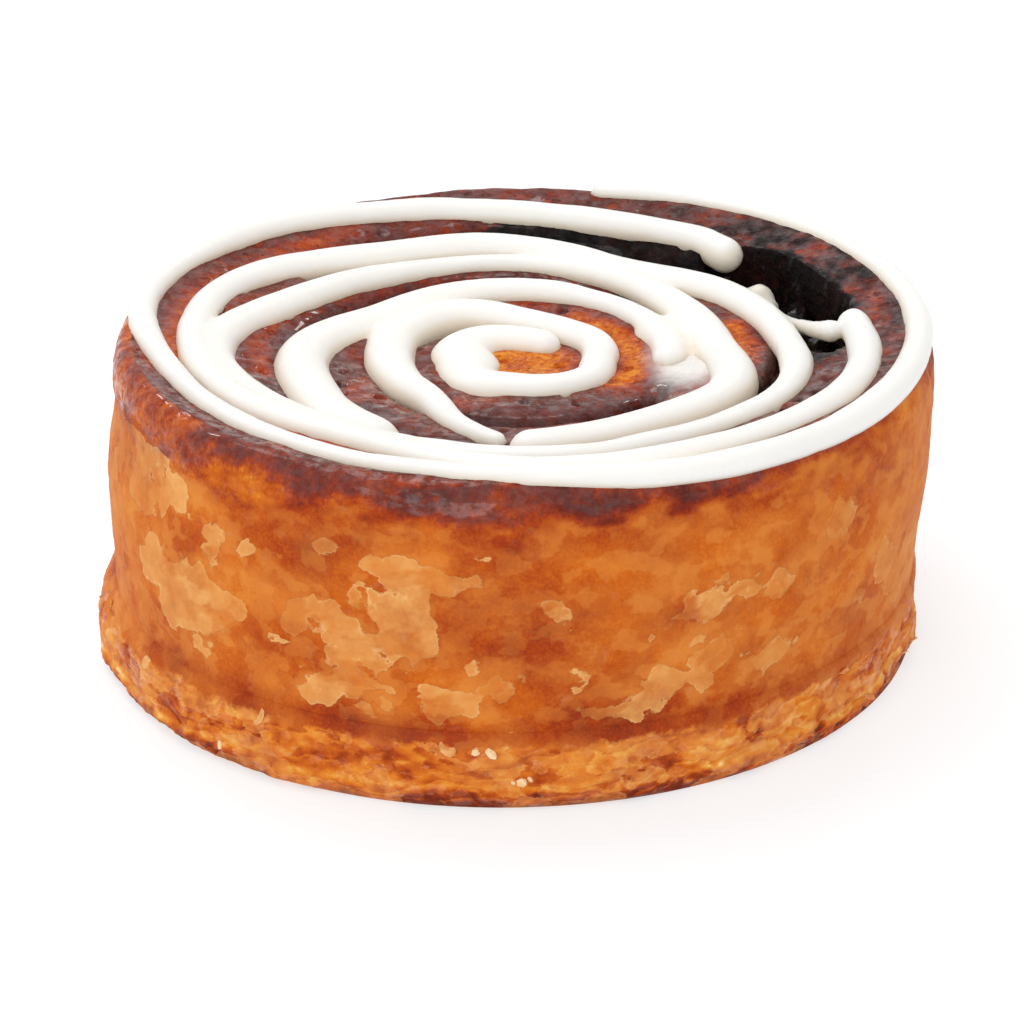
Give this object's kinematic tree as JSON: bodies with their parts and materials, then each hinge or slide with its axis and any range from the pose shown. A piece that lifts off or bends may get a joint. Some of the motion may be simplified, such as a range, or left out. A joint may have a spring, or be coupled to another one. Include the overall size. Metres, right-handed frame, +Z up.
{
  "type": "danish pastry swirl",
  "caption": "Round ring-baked danish pastry swirl with a flaky foot, a dished top, dark filling in the spiral seam and piped white icing.",
  "frame": {"origin": "centre of the base, on the surface that the pastry stands on", "axes": "+Z up through the pastry, -Y towards the side that the picture shows, +X to the right in that view"},
  "size_m": [0.1022, 0.1009, 0.0422],
  "materials": {
    "dough": "glazed golden-brown laminated dough, darker at the shoulder",
    "filling": "glossy dark fruit filling",
    "icing": "soft satin white sugar icing"
  },
  "bodies": {
    "root": {"dough": "dough", "filling": "filling", "icing": "icing", "icing_drop": "icing"}
  },
  "joints": []
}
